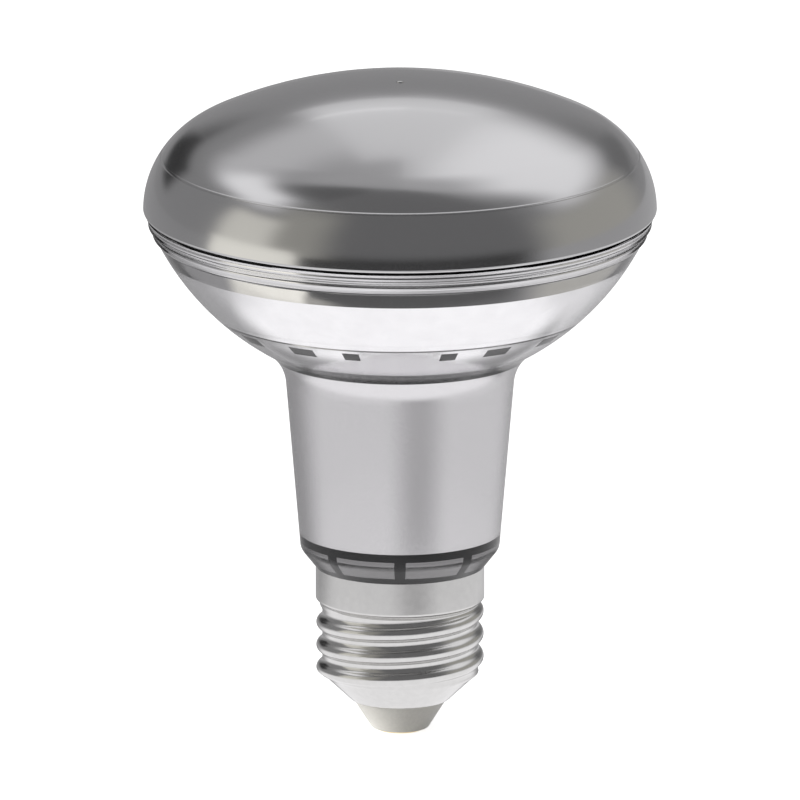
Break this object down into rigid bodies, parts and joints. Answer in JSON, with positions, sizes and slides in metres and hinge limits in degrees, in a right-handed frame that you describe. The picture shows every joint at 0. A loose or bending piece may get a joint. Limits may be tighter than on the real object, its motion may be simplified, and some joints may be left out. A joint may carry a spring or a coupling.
{
  "type": "reflector bulb",
  "caption": "Reflector lamp with a domed front lens, a clear bowl and neck, a silvered reflector, a driver in the neck and a screw cap.",
  "frame": {"origin": "middle of the centre contact's outer face, at the bottom of the screw cap", "axes": "+Z along the lamp's axis, from the cap to the front lens"},
  "size_m": [0.08, 0.08, 0.1041],
  "materials": {
    "clear_body": "clear moulded body, glossy",
    "front_lens": "clear moulded lens, glossy",
    "mirror": "bright aluminised",
    "satin_metal": "satin silver",
    "nickel": "polished nickel plate",
    "bright_steel": "bright pressed steel",
    "seal_black": "matt black",
    "insulator": "off-white moulding",
    "housing": "dark grey moulding",
    "light_board": "white solder mask on aluminium",
    "chip_yellow": "yellow phosphor",
    "pad_grey": "grey silicone pad",
    "screw_steel": "zinc plated",
    "solder": "bright solder",
    "driver_green": "green laminate",
    "can_black": "black sleeve on an aluminium can",
    "film_yellow": "yellow case",
    "ferrite": "dark ferrite",
    "winding": "taped copper winding",
    "chip_black": "black epoxy",
    "resistor": "blue-grey coating",
    "lead_red": "red insulation",
    "lead_white": "white insulation",
    "contact": "brass rivet"
  },
  "bodies": {
    "root": {"cap_shell": "nickel", "centre_contact": "contact", "cap_insulator": "insulator", "clear_body": "clear_body", "lens_seal": "seal_black", "reflector_cup": "mirror", "front_lens": "front_lens", "heat_sink": "satin_metal", "thermal_pad": "pad_grey", "led_board": "light_board", "led_chips": "chip_yellow", "board_screws": "screw_steel", "solder_joints": "solder", "driver_housing": "housing", "retaining_ring": "bright_steel", "driver_board": "driver_green", "storage_capacitor": "can_black", "output_capacitor": "can_black", "transformer_core": "ferrite", "transformer_winding": "winding", "drum_choke": "ferrite", "fusible_resistor": "resistor", "film_capacitor": "film_yellow", "bridge_rectifier": "chip_black", "control_chip": "chip_black", "live_lead": "lead_red", "neutral_lead": "lead_white", "output_leads": "lead_red"}
  },
  "joints": []
}
